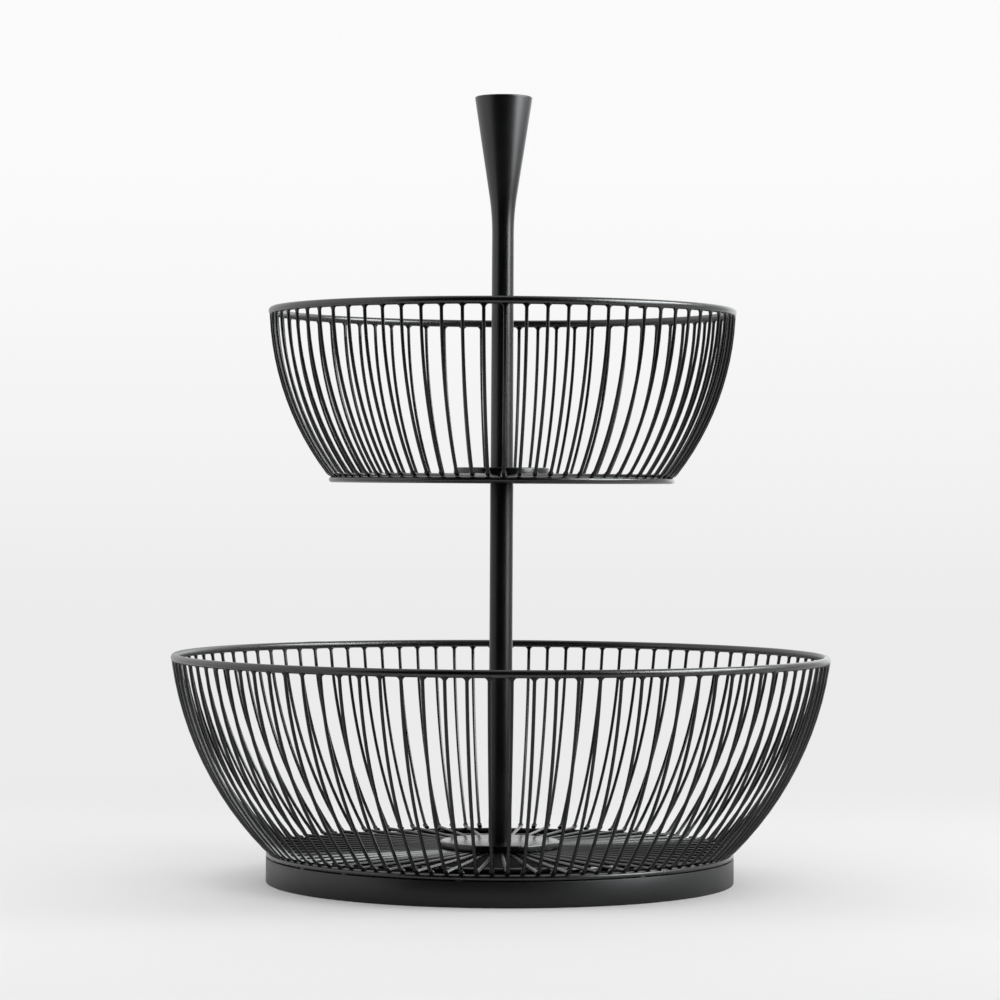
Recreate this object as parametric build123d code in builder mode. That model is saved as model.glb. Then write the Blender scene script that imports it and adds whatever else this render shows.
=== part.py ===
from build123d import *
import math
import os

# Tiered wire basket, in millimetres. +Z is up, and the origin is the middle of the base on the table.
# The camera side is -Y. Angles are counted from +X, counter-clockwise seen from above.

# Wires. A rib is drawn square, and a ring or rim as an upright rectangle flush with its outer side.
# Each section has the area of its round wire.
rib_wire = 1.8
ring_wire = 3.0
rim_wire = 3.5
square_side_share = math.sqrt(math.pi) / 2
narrow_width_share = math.pi / 4

# Base band
base_diameter = 243.0
band_height = 13.0
band_wall = 2.0

# Lower basket
lower_rim_diameter = 342.2
lower_depth = 98.5
lower_side_bow = 8.9
lower_rib_count = 100
lower_rib_groups = 10
lower_first_rib_angle = -88.2
floor_ring_diameter = 179.0
lower_hub_diameter = 62.0
lower_hub_overlap = 11.0

# Upper basket
upper_rim_diameter = 243.2
upper_ring_diameter = 179.8
upper_depth = 84.0
upper_side_bow = 7.3
upper_rib_count = 72
upper_rib_groups = 9
upper_first_rib_angle = -89.4
upper_hub_diameter = 50.0
upper_hub_overlap = 9.0

# Both baskets: hub plates, and the straight spans of a bowed side, which run evenly inside and outside
# of the smooth curve when the bow is drawn fuller by its share
hub_plate = 3.5
side_spans = 3
drawn_bow_share = 1.09

# Post, with a threaded pin at its top
post_diameter = 12.0
post_length = 190.4
thread_diameter = 6.0
thread_engagement = 14.0

# Handle: a straight neck that flares into a cone
handle_length = 192.9
grip_length = 61.5
neck_diameter = 11.6
grip_diameter = 29.8
flare_radius = 135.0

# Clearances
thread_clearance = 0.05
hole_clearance = 0.3
thread_end_clearance = 2.0

# Heights, from the table up
rib_side = rib_wire * square_side_share
lower_ring_top = band_height + ring_wire
lower_rim_bottom = lower_ring_top + lower_depth
lower_hub_bottom = lower_ring_top + rib_side
lower_hub_top = lower_hub_bottom + hub_plate
post_top = lower_hub_top + post_length
upper_hub_top = post_top + hub_plate
upper_ring_top = post_top - rib_side
upper_rim_bottom = upper_ring_top + upper_depth
handle_top = upper_hub_top + handle_length

# Radii
ring_width = ring_wire * narrow_width_share
rim_width = rim_wire * narrow_width_share
thread_radius = thread_diameter / 2

os.makedirs("parts", exist_ok=True)


# A square wire rib in the XZ plane, from the underside of the rim down a bowed side to the bottom ring.
# A short rib ends on the ring, and a long rib turns there and runs in along the floor to end_radius.
def bent_rib(rim_diameter, rim_bottom, ring_diameter, ring_top, bow, end_radius=None):
    top = Vector((rim_diameter - rim_width) / 2, 0, rim_bottom)
    foot = Vector(ring_diameter / 2, 0, ring_top + rib_side / 2)
    chord = foot - top
    outward = Vector(-chord.Z, 0, chord.X).normalized()
    side = ThreePointArc(top, (top + foot) / 2 + outward * bow * drawn_bow_share, foot)
    points = [side @ (step / side_spans) for step in range(side_spans + 1)]
    points[0] += (points[0] - points[1]).normalized() * rim_wire
    if end_radius is None:
        points[-1] += (points[-1] - points[-2]).normalized() * ring_wire
    else:
        points.append(Vector(end_radius, 0, foot.Z))
    with BuildPart() as rib:
        with BuildLine() as route:
            Polyline(*points)
        with BuildSketch(Plane(origin=route.line @ 0, x_dir=(0, 1, 0), z_dir=route.line % 0)):
            Rectangle(rib_side, rib_side)
        sweep(transition=Transition.RIGHT)
        split(bisect_by=Plane.XY.offset(rim_bottom), keep=Keep.BOTTOM)
        if end_radius is None:
            split(bisect_by=Plane.XY.offset(ring_top), keep=Keep.TOP)
    return rib.part


# Equal groups of one kind of rib, each group over its own share of the circle and each rib its own solid
def write_rib_groups(name, rib, groups, count, first_angle):
    group_angle = 360 / groups
    for group in range(groups):
        with BuildPart() as ribs:
            with PolarLocations(0, count // groups, first_angle + group * group_angle, group_angle):
                add(rib)
        ribs.part.label = f"{name}_{group + 1}"
        export_step(ribs.part, f"parts/{name}_{group + 1}.step")


# Base band: a flat strip rolled into a ring
with BuildPart() as base_band:
    with BuildSketch():
        Circle(base_diameter / 2)
        Circle(base_diameter / 2 - band_wall, mode=Mode.SUBTRACT)
    extrude(amount=band_height)
base_band.part.label = "base_band"
export_step(base_band.part, "parts/base_band.step")

# Lower bottom ring: lies on the band, as wide as it
with BuildPart() as lower_bottom_ring:
    with BuildSketch(Plane.XY.offset(band_height)):
        Circle(base_diameter / 2)
        Circle(base_diameter / 2 - ring_width, mode=Mode.SUBTRACT)
    extrude(amount=ring_wire)
lower_bottom_ring.part.label = "lower_bottom_ring"
export_step(lower_bottom_ring.part, "parts/lower_bottom_ring.step")

# Lower floor ring: part of the way in, under the long ribs
with BuildPart() as lower_floor_ring:
    with BuildSketch(Plane.XY.offset(band_height)):
        Circle(floor_ring_diameter / 2)
        Circle(floor_ring_diameter / 2 - ring_width, mode=Mode.SUBTRACT)
    extrude(amount=ring_wire)
lower_floor_ring.part.label = "lower_floor_ring"
export_step(lower_floor_ring.part, "parts/lower_floor_ring.step")

# Lower rim: a heavier ring on the tops of the ribs
with BuildPart() as lower_rim:
    with BuildSketch(Plane.XY.offset(lower_rim_bottom)):
        Circle(lower_rim_diameter / 2)
        Circle(lower_rim_diameter / 2 - rim_width, mode=Mode.SUBTRACT)
    extrude(amount=rim_wire)
lower_rim.part.label = "lower_rim"
export_step(lower_rim.part, "parts/lower_rim.step")

# Lower ribs: long and short by turns
lower_sizes = (lower_rim_diameter, lower_rim_bottom, base_diameter, lower_ring_top, lower_side_bow)
lower_long_rib = bent_rib(*lower_sizes, lower_hub_diameter / 2 - lower_hub_overlap)
lower_short_rib = bent_rib(*lower_sizes)
lower_pairs = lower_rib_count // 2
lower_short_rib_angle = lower_first_rib_angle + 360 / lower_rib_count
write_rib_groups("lower_long_ribs", lower_long_rib, lower_rib_groups, lower_pairs, lower_first_rib_angle)
write_rib_groups("lower_short_ribs", lower_short_rib, lower_rib_groups, lower_pairs, lower_short_rib_angle)

# Lower hub plate: a disc on the inner ends of the long ribs
with BuildPart() as lower_hub_plate:
    with BuildSketch(Plane.XY.offset(lower_hub_bottom)):
        Circle(lower_hub_diameter / 2)
    extrude(amount=hub_plate)
lower_hub_plate.part.label = "lower_hub_plate"
export_step(lower_hub_plate.part, "parts/lower_hub_plate.step")

# Post: a rod on the lower hub plate, turned down at its top to a threaded pin
with BuildPart() as post:
    with BuildSketch(Plane.XY.offset(lower_hub_top)):
        Circle(post_diameter / 2)
    extrude(amount=post_length)
    with BuildSketch(Plane.XY.offset(post_top)):
        Circle(thread_radius)
    extrude(amount=hub_plate + thread_engagement)
post.part.label = "post"
export_step(post.part, "parts/post.step")

# Upper bottom ring: under the ribs of the upper basket
with BuildPart() as upper_bottom_ring:
    with BuildSketch(Plane.XY.offset(upper_ring_top)):
        Circle(upper_ring_diameter / 2)
        Circle(upper_ring_diameter / 2 - ring_width, mode=Mode.SUBTRACT)
    extrude(amount=-ring_wire)
upper_bottom_ring.part.label = "upper_bottom_ring"
export_step(upper_bottom_ring.part, "parts/upper_bottom_ring.step")

# Upper rim
with BuildPart() as upper_rim:
    with BuildSketch(Plane.XY.offset(upper_rim_bottom)):
        Circle(upper_rim_diameter / 2)
        Circle(upper_rim_diameter / 2 - rim_width, mode=Mode.SUBTRACT)
    extrude(amount=rim_wire)
upper_rim.part.label = "upper_rim"
export_step(upper_rim.part, "parts/upper_rim.step")

# Upper ribs: long and short by turns
upper_sizes = (upper_rim_diameter, upper_rim_bottom, upper_ring_diameter, upper_ring_top, upper_side_bow)
upper_long_rib = bent_rib(*upper_sizes, upper_hub_diameter / 2 - upper_hub_overlap)
upper_short_rib = bent_rib(*upper_sizes)
upper_pairs = upper_rib_count // 2
upper_short_rib_angle = upper_first_rib_angle + 360 / upper_rib_count
write_rib_groups("upper_long_ribs", upper_long_rib, upper_rib_groups, upper_pairs, upper_first_rib_angle)
write_rib_groups("upper_short_ribs", upper_short_rib, upper_rib_groups, upper_pairs, upper_short_rib_angle)

# Upper hub plate: clamped between the post and the handle, around the threaded pin
with BuildPart() as upper_hub_plate:
    with BuildSketch(Plane.XY.offset(post_top)):
        Circle(upper_hub_diameter / 2)
        Circle(thread_radius + hole_clearance, mode=Mode.SUBTRACT)
    extrude(amount=hub_plate)
upper_hub_plate.part.label = "upper_hub_plate"
export_step(upper_hub_plate.part, "parts/upper_hub_plate.step")

# Handle: half its outline, with the flare as one large radius, turned about the axis and tapped below
with BuildPart() as handle:
    with BuildSketch(Plane.XZ):
        with BuildLine():
            neck_foot = (neck_diameter / 2, upper_hub_top)
            cone_foot = (neck_diameter / 2, handle_top - grip_length)
            grip_edge = (grip_diameter / 2, handle_top)
            FilletPolyline(neck_foot, cone_foot, grip_edge, radius=flare_radius)
            Polyline(grip_edge, (0, handle_top), (0, upper_hub_top), neck_foot)
        make_face()
    revolve(axis=Axis.Z)
    with BuildSketch(Plane.XY.offset(upper_hub_top)):
        Circle(thread_radius + thread_clearance)
    extrude(amount=thread_engagement + thread_end_clearance, mode=Mode.SUBTRACT)
handle.part.label = "handle"
export_step(handle.part, "parts/handle.step")
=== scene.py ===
import bpy
import math
from mathutils import Matrix, Vector


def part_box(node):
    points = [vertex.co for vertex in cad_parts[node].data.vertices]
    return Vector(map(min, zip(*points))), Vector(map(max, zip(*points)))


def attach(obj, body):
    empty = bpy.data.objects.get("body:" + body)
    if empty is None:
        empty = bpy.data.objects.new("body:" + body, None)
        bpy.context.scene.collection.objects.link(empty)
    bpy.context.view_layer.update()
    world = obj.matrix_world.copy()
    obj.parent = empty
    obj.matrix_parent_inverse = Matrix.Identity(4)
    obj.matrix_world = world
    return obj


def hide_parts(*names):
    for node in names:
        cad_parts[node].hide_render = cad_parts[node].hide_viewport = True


# Tiered wire basket. Lengths are in metres, angles in degrees and lamps in watts. The camera side is -Y
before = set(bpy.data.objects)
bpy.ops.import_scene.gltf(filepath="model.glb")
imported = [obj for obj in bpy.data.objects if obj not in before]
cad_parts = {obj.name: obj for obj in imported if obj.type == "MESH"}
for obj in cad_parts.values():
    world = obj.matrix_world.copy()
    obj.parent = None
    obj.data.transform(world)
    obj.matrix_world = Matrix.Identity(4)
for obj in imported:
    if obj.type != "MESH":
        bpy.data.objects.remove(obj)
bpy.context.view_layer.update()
scene = bpy.context.scene


# Shared modelling steps

mergeDistance = 0.000002


def deselectAll():
    bpy.ops.object.select_all(action="DESELECT")


# A circle in edit mode with all its points selected
def startPiece(name, vertices, radius, place, turn=(0, 0, 0), fill="NOTHING"):
    deselectAll()
    bpy.ops.mesh.primitive_circle_add(
        vertices=vertices, radius=radius, fill_type=fill, location=place, rotation=turn)
    piece = bpy.context.object
    piece.name = name
    bpy.ops.object.mode_set(mode="EDIT")
    bpy.ops.mesh.select_mode(type="VERT")
    bpy.ops.mesh.select_all(action="SELECT")
    return piece


def extrudeBy(x, y, z):
    bpy.ops.mesh.extrude_region_move(TRANSFORM_OT_translate={"value": (x, y, z)})


def resizeAbout(centre, x, y, z):
    bpy.ops.transform.resize(value=(x, y, z), center_override=centre)


# Selects the points or faces whose place passes the test
def selectWhere(piece, test, kind="VERT"):
    bpy.ops.mesh.select_mode(type=kind)
    bpy.ops.mesh.select_all(action="DESELECT")
    bpy.ops.object.mode_set(mode="OBJECT")
    if kind == "FACE":
        for face in piece.data.polygons:
            face.select = test(face.center)
    else:
        for vertex in piece.data.vertices:
            vertex.select = test(vertex.co)
    bpy.ops.object.mode_set(mode="EDIT")


# Merges doubles, turns the faces outwards, puts the place into the mesh and smooths
def closePiece(piece, smoothAngle=40):
    bpy.ops.object.mode_set(mode="EDIT")
    bpy.ops.mesh.select_all(action="SELECT")
    bpy.ops.mesh.remove_doubles(threshold=mergeDistance)
    bpy.ops.mesh.normals_make_consistent(inside=False)
    bpy.ops.object.mode_set(mode="OBJECT")
    deselectAll()
    piece.select_set(True)
    bpy.context.view_layer.objects.active = piece
    bpy.ops.object.transform_apply(location=True, rotation=True, scale=True)
    bpy.ops.object.shade_smooth_by_angle(angle=math.radians(smoothAngle))


def turnedCopy(piece, degrees):
    copy = piece.copy()
    copy.data = piece.data.copy()
    copy.data.transform(Matrix.Rotation(math.radians(degrees), 4, "Z"))
    scene.collection.objects.link(copy)
    return copy


# One piece made of copies turned to the angles
def turnedCopies(piece, angles, name):
    copies = [turnedCopy(piece, angle) for angle in angles]
    deselectAll()
    for copy in copies:
        copy.select_set(True)
    bpy.context.view_layer.objects.active = copies[0]
    if len(copies) > 1:
        bpy.ops.object.join()
    copies[0].name = name
    return copies[0]


def finishPiece(piece, material, *nodes):
    piece.data.materials.clear()
    piece.data.materials.append(material)
    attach(piece, "root")
    if nodes:
        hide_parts(*nodes)


# Shared material steps

def newMaterial(name):
    material = bpy.data.materials.new(name)
    material.use_nodes = True
    return material, material.node_tree


def objectPlace(tree):
    return tree.nodes.new("ShaderNodeTexCoord").outputs["Object"]


def noise(tree, place, scale, detail):
    texture = tree.nodes.new("ShaderNodeTexNoise")
    texture.inputs["Scale"].default_value = scale
    texture.inputs["Detail"].default_value = detail
    tree.links.new(place, texture.inputs["Vector"])
    return texture.outputs["Fac"]


def calculate(tree, operation, *amounts):
    step = tree.nodes.new("ShaderNodeMath")
    step.operation = operation
    for socket, amount in zip(step.inputs, amounts):
        if isinstance(amount, float):
            socket.default_value = amount
        else:
            tree.links.new(amount, socket)
    return step.outputs["Value"]


def rescale(tree, amount, before, after, smooth=False):
    step = tree.nodes.new("ShaderNodeMapRange")
    if smooth:
        step.interpolation_type = "SMOOTHSTEP"
    for socket, edge in zip(("From Min", "From Max", "To Min", "To Max"), (*before, *after)):
        step.inputs[socket].default_value = edge
    tree.links.new(amount, step.inputs["Value"])
    return step.outputs["Result"]


# A new ramp has two steps already, which take the first two stops
def colourRamp(tree, amount, stops):
    ramp = tree.nodes.new("ShaderNodeValToRGB")
    steps = ramp.color_ramp.elements
    for k, (position, colour) in enumerate(stops):
        step = steps[k] if k < 2 else steps.new(position)
        step.position = position
        step.color = (*colour, 1)
    tree.links.new(amount, ramp.inputs["Fac"])
    return ramp.outputs["Color"]


def bump(tree, height, strength, depth, under=None):
    step = tree.nodes.new("ShaderNodeBump")
    step.inputs["Strength"].default_value = strength
    step.inputs["Distance"].default_value = depth
    tree.links.new(height, step.inputs["Height"])
    if under is not None:
        tree.links.new(under, step.inputs["Normal"])
    return step.outputs["Normal"]


def split(tree, vector):
    step = tree.nodes.new("ShaderNodeSeparateXYZ")
    tree.links.new(vector, step.inputs["Vector"])
    return step.outputs


# Satin black powder coat

coat = {
    "shade": (0.0012, 0.0012, 0.0013), "shadeLight": (0.0024, 0.0024, 0.0026),
    "shadeFrom": 0.45, "shadeTo": 0.85, "grainShare": 0.35,
    "patch": 22.0, "patchDetail": 3, "grain": 1500.0, "grainDetail": 2, "peel": 260.0, "peelDetail": 1,
    "rough": (0.36, 0.46), "roughPatch": (0.3, 0.7), "grainDepth": 0.00003, "peelDepth": 0.00006,
}


# coarserUp holds the height where the coat starts to get rougher, the height where it stops, and how much
def powderCoat(name, lighter=1.0, rougher=0.0, gloss=0.5, relief=0.5, coarserUp=None):
    material, tree = newMaterial(name)
    link = tree.links.new
    shader = tree.nodes["Principled BSDF"]
    place = objectPlace(tree)
    patches = noise(tree, place, coat["patch"], coat["patchDetail"])
    grain = noise(tree, place, coat["grain"], coat["grainDetail"])
    peel = noise(tree, place, coat["peel"], coat["peelDetail"])

    tone = calculate(tree, "MULTIPLY_ADD", grain, coat["grainShare"], patches)
    dark = [c * lighter for c in coat["shade"]]
    light = [c * lighter for c in coat["shadeLight"]]
    colours = colourRamp(tree, tone, ((coat["shadeFrom"], dark), (coat["shadeTo"], light)))
    link(colours, shader.inputs["Base Color"])

    rough = [edge + rougher for edge in coat["rough"]]
    roughness = rescale(tree, patches, coat["roughPatch"], rough)
    if coarserUp:
        *heights, extra = coarserUp
        rise = rescale(tree, split(tree, place)["Z"], heights, (0, extra))
        roughness = calculate(tree, "ADD", roughness, rise)
    link(roughness, shader.inputs["Roughness"])

    fine = bump(tree, grain, relief, coat["grainDepth"])
    soft = bump(tree, peel, relief, coat["peelDepth"], fine)
    link(soft, shader.inputs["Normal"])
    shader.inputs["Specular IOR Level"].default_value = gloss
    return material


wireCoat = powderCoat("wireCoat", rougher=-0.12, gloss=0.34, relief=0.15)
ringCoat = powderCoat("ringCoat", rougher=-0.12, gloss=0.68, relief=0.12)
# The band's base colour is a fifth lighter than the same black coat elsewhere: painted light
bandCoat = powderCoat("bandCoat", lighter=1.2, gloss=0.40)
handleCoat = powderCoat("handleCoat", rougher=-0.11, coarserUp=(0.34, 0.38, 0.06))
postCoat = powderCoat("postCoat", rougher=-0.07, gloss=0.25)
hubCoat = powderCoat("hubCoat", rougher=-0.22, relief=0.3)


# Dark disc inside the base band, under the floor wires, which keeps the floor there dark

darkDiscLook = {
    "dark": (0.0012, 0.0012, 0.0012), "pale": (0.0040, 0.0040, 0.0040), "darkTo": 0.15, "paleFrom": 0.40,
    "fibre": 900.0, "fibreDetail": 4, "patch": 40.0, "patchDetail": 2,
    "rough": (0.85, 1.0), "nap": 0.6, "napDepth": 0.0003, "gloss": 0.05,
}


def darkDiscMaterial(name):
    material, tree = newMaterial(name)
    link = tree.links.new
    shader = tree.nodes["Principled BSDF"]
    place = objectPlace(tree)
    fibres = noise(tree, place, darkDiscLook["fibre"], darkDiscLook["fibreDetail"])
    patches = noise(tree, place, darkDiscLook["patch"], darkDiscLook["patchDetail"])
    tone = calculate(tree, "MULTIPLY", fibres, patches)
    stops = ((darkDiscLook["darkTo"], darkDiscLook["dark"]), (darkDiscLook["paleFrom"], darkDiscLook["pale"]))
    link(colourRamp(tree, tone, stops), shader.inputs["Base Color"])
    link(rescale(tree, fibres, (0, 1), darkDiscLook["rough"]), shader.inputs["Roughness"])
    link(bump(tree, fibres, darkDiscLook["nap"], darkDiscLook["napDepth"]), shader.inputs["Normal"])
    shader.inputs["Specular IOR Level"].default_value = darkDiscLook["gloss"]
    return material


darkDiscCoat = darkDiscMaterial("darkDiscCoat")
print("materials done")


# Rings and rims: bent wire, a little fuller at its butt weld

ringShape = {"across": 14, "round": 240, "weldWidth": 2.0, "weldBulge": 0.00012}
rings = {
    "lower_rim": {"wire": 0.0040, "weldAngle": 128},
    "lower_bottom_ring": {"wire": 0.0030, "weldAngle": 52},
    "lower_floor_ring": {"wire": 0.0030, "weldAngle": 15},
    "upper_rim": {"wire": 0.0040, "weldAngle": 141},
    "upper_bottom_ring": {"wire": 0.0030, "weldAngle": -61},
}


def wireRing(node, wire, weldAngle):
    low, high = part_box(node)
    deselectAll()
    bpy.ops.mesh.primitive_torus_add(
        location=(0, 0, (low.z + high.z) / 2), major_radius=high.x - wire / 2, minor_radius=wire / 2,
        major_segments=ringShape["round"], minor_segments=ringShape["across"])
    ring = bpy.context.object
    ring.name = "wire_" + node
    bpy.ops.object.mode_set(mode="EDIT")

    def nearWeld(spot):
        away = math.degrees(math.atan2(spot.y, spot.x)) - weldAngle
        return abs(away) < ringShape["weldWidth"] / 2

    selectWhere(ring, nearWeld)
    bpy.ops.transform.shrink_fatten(value=ringShape["weldBulge"])
    closePiece(ring)
    finishPiece(ring, ringCoat, node)


for node, shape in rings.items():
    wireRing(node, **shape)
print("rings done")


# Ribs: round wire, bowed down from the rim and bent over the bottom ring

# Widths are multiples of the wire: weldWidths at the drops under the rim, footWidths at the rises over the
# ring, and bendWidth in the bend. seat is the share of the wire between the ring's top and a rib's middle
ribShape = {
    "wire": 0.0018, "sides": 8, "seat": 0.45, "arcSteps": 12, "bendRadius": 0.0036, "bendSteps": 4,
    "weldDrops": (0, 0.0004, 0.0008, 0.0015), "weldWidths": (2.4, 1.7, 1.3, 1.0),
    "footStart": 0.0024, "footRises": (0.0015, 0.0008), "footWidths": (1.12, 1.3),
    "bendWidth": 1.55, "bendRun": 0.0030, "shortEnd": 0.0026,
}
lowerRibs = {
    "arcCentre": (0.0, 0.1381), "arcRadius": 0.1714,
    "rim": "lower_rim", "ring": "lower_bottom_ring", "hub": "lower_hub_plate", "hubOverlap": 0.011,
    "count": 100, "groups": 10, "firstAngle": -88.2,
}
upperRibs = {
    "arcCentre": (-0.0235, 0.2996), "arcRadius": 0.1438,
    "rim": "upper_rim", "ring": "upper_bottom_ring", "hub": "upper_hub_plate", "hubOverlap": 0.009,
    "count": 72, "groups": 9, "firstAngle": -89.4,
}


def bowedRib(ribs, endRadius):
    wire, bend = ribShape["wire"], ribShape["bendRadius"]
    centreX, centreZ = ribs["arcCentre"]
    arc = ribs["arcRadius"]
    rimLow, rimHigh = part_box(ribs["rim"])
    rimZ = (rimLow.z + rimHigh.z) / 2
    rimUnder = rimZ - rings[ribs["rim"]]["wire"] / 2
    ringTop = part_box(ribs["ring"])[1].z

    # The small bend touches the big arc inside and the floor wire's line below
    bendZ = ringTop + wire * ribShape["seat"] + bend
    bendX = centreX + math.sqrt((arc - bend) ** 2 - (centreZ - bendZ) ** 2)
    bendStart = math.degrees(math.atan2(centreZ - bendZ, bendX - centreX))

    def angleAt(height):
        return math.degrees(math.asin((centreZ - height) / arc))

    def sweep(degrees, steps, centre=(centreX, 0, centreZ)):
        bpy.ops.mesh.spin(steps=steps, angle=-math.radians(degrees), center=centre, axis=(0, 1, 0))

    def widen(factor):
        resizeAbout((0, 0, 0), 1, factor, 1)

    reached = angleAt(rimZ)
    topX = centreX + arc * math.cos(math.radians(reached))
    rib = startPiece("rib", ribShape["sides"], wire / 2, (topX, 0, rimZ), (0, math.radians(reached), 0))

    wide = ribShape["weldWidths"][0]
    widen(wide)
    for drop, nextWide in zip(ribShape["weldDrops"], ribShape["weldWidths"]):
        angle = angleAt(rimUnder - drop)
        sweep(angle - reached, 1)
        widen(nextWide / wide)
        reached, wide = angle, nextWide

    angle = angleAt(ringTop + ribShape["footStart"])
    sweep(angle - reached, ribShape["arcSteps"])
    reached = angle
    for rise, nextWide in zip(ribShape["footRises"], ribShape["footWidths"]):
        angle = min(angleAt(ringTop + rise), bendStart)
        if angle > reached:
            sweep(angle - reached, 1)
            reached = angle
        widen(nextWide / wide)
        wide = nextWide
    if bendStart > reached:
        sweep(bendStart - reached, 1)
    widen(ribShape["bendWidth"] / wide)
    sweep(90 - bendStart, ribShape["bendSteps"], (bendX, 0, bendZ))

    # A short rib ends on the ring, and a long one narrows again and runs in to the hub
    run = ribShape["bendRun"]
    if bendX - endRadius > run:
        extrudeBy(-run, 0, 0)
        widen(1 / ribShape["bendWidth"])
        extrudeBy(endRadius - bendX + run, 0, 0)
    else:
        extrudeBy(endRadius - bendX, 0, 0)
    bpy.ops.mesh.select_all(action="SELECT")
    bpy.ops.mesh.fill_holes(sides=ribShape["sides"])
    closePiece(rib)
    return rib


def ribGroups(label, ribs):
    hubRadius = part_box(ribs["hub"])[1].x
    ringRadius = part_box(ribs["ring"])[1].x
    pitch = 360 / ribs["count"]
    each = ribs["count"] // 2 // ribs["groups"]
    kinds = {
        "long": (hubRadius - ribs["hubOverlap"], 0),
        "short": (ringRadius - ribShape["shortEnd"], pitch),
    }
    for kind, (endRadius, shift) in kinds.items():
        rib = bowedRib(ribs, endRadius)
        for group in range(ribs["groups"]):
            first = ribs["firstAngle"] + shift + group * 360 / ribs["groups"]
            node = f"{label}_{kind}_ribs_{group + 1}"
            angles = [first + k * 2 * pitch for k in range(each)]
            finishPiece(turnedCopies(rib, angles, "wire_" + node), wireCoat, node)
        bpy.data.objects.remove(rib)


ribGroups("lower", lowerRibs)
ribGroups("upper", upperRibs)
print("ribs done")


# Weld beads between the bottom ring and the band, and one under the upper rim

beads = {
    "long": 0.0024, "thick": 0.0009, "segments": 12, "rows": 7, "narrow": 0.8,
    "tipFrom": 0.4, "tipNarrow": 0.75, "tipLow": 0.7, "ringInset": 0.0008, "ringRise": 0.0002,
    "rimInset": 0.0020, "ringAngles": (-144.6, -129.3, -99.3, -54.4, -12, 33, 78, 118, 152, 196),
    "rimAngles": (-55.3,),
}


def weldBeads(name, place, angles):
    deselectAll()
    bpy.ops.mesh.primitive_uv_sphere_add(
        segments=beads["segments"], ring_count=beads["rows"], radius=beads["thick"], location=place)
    bead = bpy.context.object
    bpy.ops.object.mode_set(mode="EDIT")
    bpy.ops.mesh.select_all(action="SELECT")
    resizeAbout(place, beads["narrow"], beads["long"] / beads["thick"], 1)
    selectWhere(bead, lambda spot: abs(spot.y) > beads["long"] * beads["tipFrom"])
    resizeAbout(place, beads["tipNarrow"], 1, beads["tipLow"])
    closePiece(bead)
    finishPiece(turnedCopies(bead, angles, name), wireCoat)
    bpy.data.objects.remove(bead)


ringLow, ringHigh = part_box("lower_bottom_ring")
rimLow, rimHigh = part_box("upper_rim")
ringSeam = (ringHigh.x - beads["ringInset"], 0, ringLow.z + beads["ringRise"])
rimSeam = (rimHigh.x - beads["rimInset"], 0, rimLow.z)
weldBeads("ring_welds", ringSeam, beads["ringAngles"])
weldBeads("rim_weld", rimSeam, beads["rimAngles"])
print("weld beads done")


# Base band: a rolled strip

bandShape = {"round": 240, "wall": 0.002, "edge": 0.0004, "edgeSteps": 2}


def baseBand():
    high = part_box("base_band")[1]
    band = startPiece("rolled_band", bandShape["round"], high.x, (0, 0, 0))
    extrudeBy(0, 0, high.z)
    bpy.ops.object.mode_set(mode="OBJECT")
    wall = band.modifiers.new("wall", "SOLIDIFY")
    wall.thickness = bandShape["wall"]
    wall.offset = 1
    edge = band.modifiers.new("edge", "BEVEL")
    edge.width = bandShape["edge"]
    edge.segments = bandShape["edgeSteps"]
    edge.limit_method = "ANGLE"
    for modifier in ("wall", "edge"):
        bpy.ops.object.modifier_apply(modifier=modifier)
    closePiece(band)
    finishPiece(band, bandCoat, "base_band")


baseBand()
print("base band done")


# Turned pieces, built up ring by ring along half their outline

def turnedPiece(name, outline, vertices):
    (radius, z), *rest = outline
    piece = startPiece(name, vertices, radius, (0, 0, z))
    bpy.ops.mesh.edge_face_add()
    bpy.ops.mesh.select_all(action="SELECT")
    for nextRadius, nextZ in rest:
        extrudeBy(0, 0, nextZ - z)
        resizeAbout((0, 0, nextZ), nextRadius / radius, nextRadius / radius, 1)
        radius, z = nextRadius, nextZ
    closePiece(piece, smoothAngle=30)
    return piece


def roundedEdge(radius, z, edge, steps=3):
    points = []
    for k in range(steps + 1):
        angle = math.radians(90 * k / steps)
        points.append((radius - edge * (1 - math.cos(angle)), z - edge * (1 - math.sin(angle))))
    return points


darkDiscShape = {"radius": 0.1196, "low": 0.0004, "high": 0.0026, "edge": 0.0006, "round": 96}


# A thin dark disc just above the floor inside the band, darkening what shows between the floor wires
def darkBaseDisc():
    radius = darkDiscShape["radius"]
    outline = [(radius, darkDiscShape["low"]), *roundedEdge(radius, darkDiscShape["high"], darkDiscShape["edge"])]
    finishPiece(turnedPiece("dark_base_disc", outline, darkDiscShape["round"]), darkDiscCoat)


darkBaseDisc()

hubShape = {"edge": 0.0008, "round": 96}


def hubPlate(node):
    low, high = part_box(node)
    radius, edge = high.x, hubShape["edge"]
    outline = [(radius - edge / 2, low.z), (radius, low.z + edge / 2), *roundedEdge(radius, high.z, edge)]
    finishPiece(turnedPiece("disc_" + node, outline, hubShape["round"]), hubCoat, node)


hubPlate("lower_hub_plate")
hubPlate("upper_hub_plate")

postShape = {"edge": 0.0003, "edgeSteps": 2, "pinRadius": 0.003, "round": 64}


def post():
    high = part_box("post")[1]
    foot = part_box("lower_hub_plate")[1].z
    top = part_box("upper_hub_plate")[0].z
    pin = postShape["pinRadius"]
    shoulder = roundedEdge(high.x, top, postShape["edge"], postShape["edgeSteps"])
    outline = [(high.x, foot), *shoulder, (pin, top), (pin, high.z)]
    finishPiece(turnedPiece("centre_post", outline, postShape["round"]), postCoat, "post")


post()

handleShape = {
    "neckFoot": 0.00585, "neck": 0.0057, "cone": 0.0615, "flareRadius": 0.135, "flareSteps": 14,
    "edge": 0.0008, "edgeSteps": 4, "round": 96,
}


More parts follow.
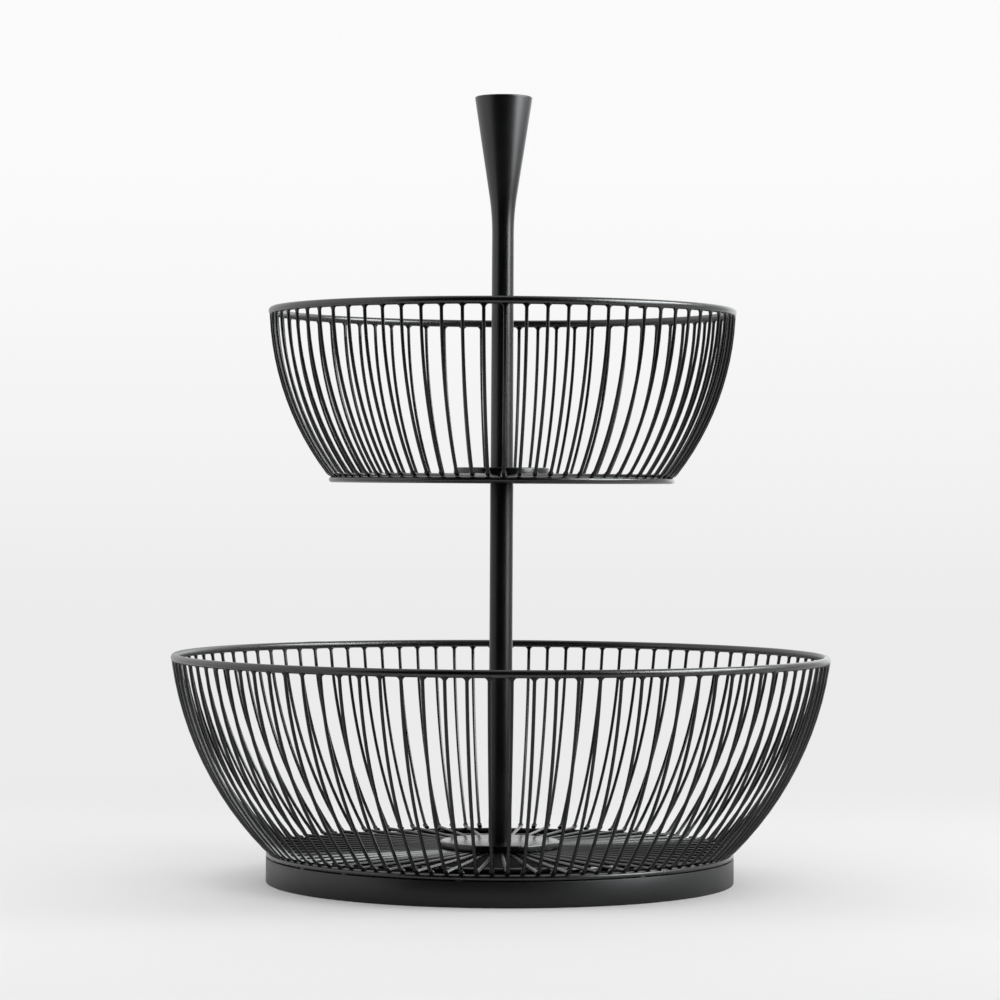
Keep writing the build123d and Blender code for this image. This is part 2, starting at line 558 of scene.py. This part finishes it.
def handle():
    low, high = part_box("handle")
    neck, grip, flare = handleShape["neck"], high.x, handleShape["flareRadius"]
    slope = math.atan((grip - neck) / handleShape["cone"])
    flareStart = high.z - handleShape["cone"] - flare * math.tan(slope / 2)
    outline = [(handleShape["neckFoot"], low.z), (neck, flareStart)]
    for k in range(1, handleShape["flareSteps"] + 1):
        turn = slope * k / handleShape["flareSteps"]
        outline.append((neck + flare * (1 - math.cos(turn)), flareStart + flare * math.sin(turn)))
    outline += roundedEdge(grip, high.z, handleShape["edge"], handleShape["edgeSteps"])
    finishPiece(turnedPiece("flared_handle", outline, handleShape["round"]), handleCoat, "handle")


handle()
print("turned pieces done")


# Floor and backdrop: white paper

# Within litWithin of the middle it takes light and shadow, and past evenFrom it glows with painted light set
# for each height, lighter higher up
paper = {
    "shade": 0.86, "litWithin": 0.18, "evenFrom": 0.80,
    "paintedLightUp": ((0.0, 0.835), (0.13, 0.865), (0.51, 0.935), (0.765, 0.960), (4.0, 0.960)),
    "radius": 4.0, "height": 4.0, "round": 96, "frontEdge": -0.5, "frontHalfAngle": 62,
}


# 1 for rays of the camera, of gloss and through glass, and 0 for rays that light things
def seenDirectly(tree):
    path = tree.nodes.new("ShaderNodeLightPath").outputs
    seen = calculate(tree, "MAXIMUM", path["Is Camera Ray"], path["Is Glossy Ray"])
    return calculate(tree, "MAXIMUM", seen, path["Is Transmission Ray"])


def mixTo(tree, share, lit, shown, output):
    both = tree.nodes.new("ShaderNodeMixShader")
    tree.links.new(share, both.inputs["Fac"])
    tree.links.new(lit, both.inputs[1])
    tree.links.new(shown, both.inputs[2])
    tree.links.new(both.outputs["Shader"], tree.nodes[output].inputs["Surface"])


def paperMaterial():
    material, tree = newMaterial("paper")
    tree.nodes.remove(tree.nodes["Principled BSDF"])
    place = objectPlace(tree)
    height = rescale(tree, split(tree, place)["Z"], (0, paper["height"]), (0, 1))
    # The glow past evenFrom is painted light, lighter higher up the wall
    stops = [(z / paper["height"], (shade, shade, shade)) for z, shade in paper["paintedLightUp"]]
    paintedLightByHeight = colourRamp(tree, height, stops)

    away = tree.nodes.new("ShaderNodeVectorMath")
    away.operation = "LENGTH"
    tree.links.new(place, away.inputs[0])
    edges = (paper["litWithin"], paper["evenFrom"])
    far = rescale(tree, away.outputs["Value"], edges, (0, 1), smooth=True)
    share = calculate(tree, "MULTIPLY", far, seenDirectly(tree))

    lit = tree.nodes.new("ShaderNodeBsdfDiffuse")
    lit.inputs["Color"].default_value = (paper["shade"], paper["shade"], paper["shade"], 1)
    shown = tree.nodes.new("ShaderNodeEmission")
    tree.links.new(paintedLightByHeight, shown.inputs["Color"])
    mixTo(tree, share, lit.outputs["BSDF"], shown.outputs["Emission"], "Material Output")
    return material


# The front sheets stay out of the gloss, which sees the dark card there
def paperSweep():
    material = paperMaterial()

    def inFront(spot):
        return abs(math.degrees(math.atan2(spot.x, -spot.y))) < paper["frontHalfAngle"]

    for front in (False, True):
        side = "Front" if front else "Back"
        wall = startPiece("wall" + side, paper["round"], paper["radius"], (0, 0, 0))
        extrudeBy(0, 0, paper["height"])
        selectWhere(wall, lambda spot: inFront(spot) != front, "FACE")
        bpy.ops.mesh.delete(type="FACE")
        closePiece(wall)
        wall.visible_diffuse = False
        wall.visible_shadow = False
        floor = startPiece("floor" + side, paper["round"], paper["radius"], (0, 0, 0), fill="NGON")
        bpy.ops.mesh.bisect(
            plane_co=(0, paper["frontEdge"], 0), plane_no=(0, 1, 0), clear_inner=not front, clear_outer=front)
        closePiece(floor)
        for sheet in (wall, floor):
            sheet.data.materials.append(material)
            sheet.visible_glossy = not front


paperSweep()


# Reflection cards: curved sheets that only the gloss sees, for a dark room and soft boxes

cardRound = 144

# left and right are angles from straight in front, and glow changes over the heights in fade
cards = {
    "darkCard": {"radius": 1.9, "left": -52, "right": 54, "low": -0.6, "high": 2.0, "roof": 1.2,
                 "fade": (0, 1), "glow": (0, 0), "tint": (1, 1, 1)},
    "rightCard": {"radius": 1.5, "left": 54, "right": 81, "low": 0.0, "high": 0.62, "roof": 0,
                  "fade": (0.24, 0.50), "glow": (0.8, 14.5), "tint": (0.95, 0.985, 1.0)},
    "upperCard": {"radius": 1.5, "left": 52, "right": 104, "low": 0.85, "high": 1.6, "roof": 0,
                  "fade": (0, 1), "glow": (19, 19), "tint": (0.95, 0.985, 1.0)},
    "edgeCard": {"radius": 1.5, "left": 142, "right": 176, "low": 0.0, "high": 1.2, "roof": 0,
                 "fade": (0, 1), "glow": (1.9, 1.9), "tint": (0.97, 0.99, 1.0)},
    "leftCard": {"radius": 1.5, "left": -122, "right": -56, "low": 0.0, "high": 1.3, "roof": 0,
                 "fade": (0, 1), "glow": (1.15, 1.15), "tint": (1, 1, 1)},
}


def reflectionCard(name, radius, left, right, low, high, roof, fade, glow, tint):
    card = startPiece(name, cardRound, radius, (0, 0, low))
    extrudeBy(0, 0, high - low)
    if roof:
        extrudeBy(0, roof, roof)

    def outside(spot):
        return not left < math.degrees(math.atan2(spot.x, -spot.y)) < right

    selectWhere(card, outside, "FACE")
    bpy.ops.mesh.delete(type="FACE")
    closePiece(card)

    material, tree = newMaterial(name)
    tree.nodes.remove(tree.nodes["Principled BSDF"])
    strength = rescale(tree, split(tree, objectPlace(tree))["Z"], fade, glow)
    shine = tree.nodes.new("ShaderNodeEmission")
    shine.inputs["Color"].default_value = (*tint, 1)
    tree.links.new(strength, shine.inputs["Strength"])
    tree.links.new(shine.outputs["Emission"], tree.nodes["Material Output"].inputs["Surface"])
    card.data.materials.append(material)
    card.visible_camera = False
    card.visible_diffuse = False
    card.visible_shadow = False


for name, shape in cards.items():
    reflectionCard(name, **shape)


# Lamps: two soft ones that the camera and the gloss don't see

lamps = {
    "key": {"place": (1.60, -0.10, 0.62), "aim": (0, 0, 0.15), "size": (0.90, 0.90), "power": 23},
    "fill": {"place": (-1.30, -0.20, 0.42), "aim": (0, 0, 0.15), "size": (0.8, 0.7), "power": 11},
}


def softLight(name, place, aim, size, power):
    lamp = bpy.data.lights.new(name, "AREA")
    lamp.shape = "RECTANGLE"
    lamp.size, lamp.size_y = size
    lamp.energy = power
    light = bpy.data.objects.new(name, lamp)
    light.location = place
    direction = Vector(aim) - Vector(place)
    light.rotation_euler = direction.to_track_quat("-Z", "Y").to_euler()
    light.visible_glossy = False
    light.visible_camera = False
    scene.collection.objects.link(light)


for name, shape in lamps.items():
    softLight(name, **shape)


# World: pale where it is seen, and for lighting darker in front than behind

sky = {"seen": 0.93, "front": 0.10, "behind": 1.15}


def studioWorld():
    world = bpy.data.worlds.new("studio")
    world.use_nodes = True
    tree = world.node_tree
    lighting = tree.nodes["Background"]
    lighting.inputs["Color"].default_value = (1, 1, 1, 1)
    direction = split(tree, tree.nodes.new("ShaderNodeTexCoord").outputs["Generated"])
    strength = rescale(tree, direction["Y"], (-1, 1), (sky["front"], sky["behind"]))
    tree.links.new(strength, lighting.inputs["Strength"])
    shown = tree.nodes.new("ShaderNodeBackground")
    shown.inputs["Color"].default_value = (1, 1, 1, 1)
    shown.inputs["Strength"].default_value = sky["seen"]
    backgrounds = lighting.outputs["Background"], shown.outputs["Background"]
    mixTo(tree, seenDirectly(tree), *backgrounds, "World Output")
    scene.world = world


studioWorld()


# Camera, in the photograph's frame of 1000 by 1000 pixels

view = {
    "distance": 1.803, "height": 0.2011, "roll": -0.3, "sensor": 36,
    "frame": 1000, "focalPixels": 3464, "horizonPixel": 494.3, "postPixel": 501.7,
}
lens = bpy.data.cameras.new("camera")
lens.sensor_width = view["sensor"]
lens.lens = view["focalPixels"] * view["sensor"] / view["frame"]
lens.shift_x = (view["frame"] / 2 - view["postPixel"]) / view["frame"]
lens.shift_y = (view["horizonPixel"] - view["frame"] / 2) / view["frame"]
camera = bpy.data.objects.new("camera", lens)
camera.location = (0, -view["distance"], view["height"])
camera.rotation_euler = (math.radians(90), math.radians(view["roll"]), 0)
scene.collection.objects.link(camera)
scene.camera = camera
scene.view_settings.view_transform = "Standard"
print("studio done")
